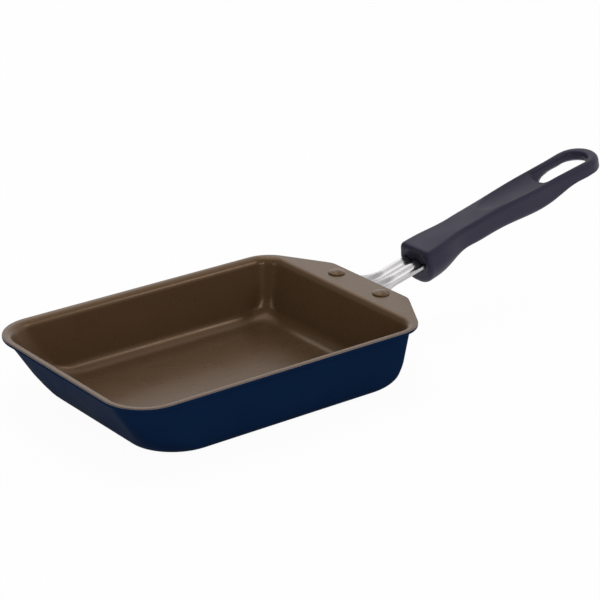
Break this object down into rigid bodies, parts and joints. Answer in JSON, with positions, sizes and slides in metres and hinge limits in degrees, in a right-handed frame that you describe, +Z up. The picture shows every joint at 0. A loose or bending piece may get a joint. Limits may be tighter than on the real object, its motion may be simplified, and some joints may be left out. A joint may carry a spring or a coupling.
{
  "type": "tamagoyaki pan",
  "caption": "Rectangular rolled-omelette frying pan with a slanted front wall, a flat rim, a riveted steel neck and a moulded grip that ends in a hanging loop.",
  "frame": {"origin": "on the flat underside of the base, below the middle of the pan's mouth", "axes": "+X from the slanted front wall to the handle, +Z up, +Y completes a right-handed frame"},
  "size_m": [0.3907, 0.145, 0.083],
  "materials": {
    "pan_enamel": "satin dark navy coating on pressed aluminium sheet",
    "nonstick_brown": "satin brown non-stick coating with a slight metallic sheen",
    "rivet_coated": "aluminium with the same brown coating",
    "bracket_steel": "bright rolled stainless sheet",
    "grip_moulding": "fine satin black heat-proof moulding",
    "screw_steel": "plated steel"
  },
  "bodies": {
    "root": {"pan_body": "pan_enamel", "nonstick_lining": "nonstick_brown", "rivet_right": "rivet_coated", "rivet_left": "rivet_coated", "handle_bracket": "bracket_steel", "handle_grip": "grip_moulding", "handle_screw": "screw_steel", "lock_washer": "screw_steel"}
  },
  "joints": []
}
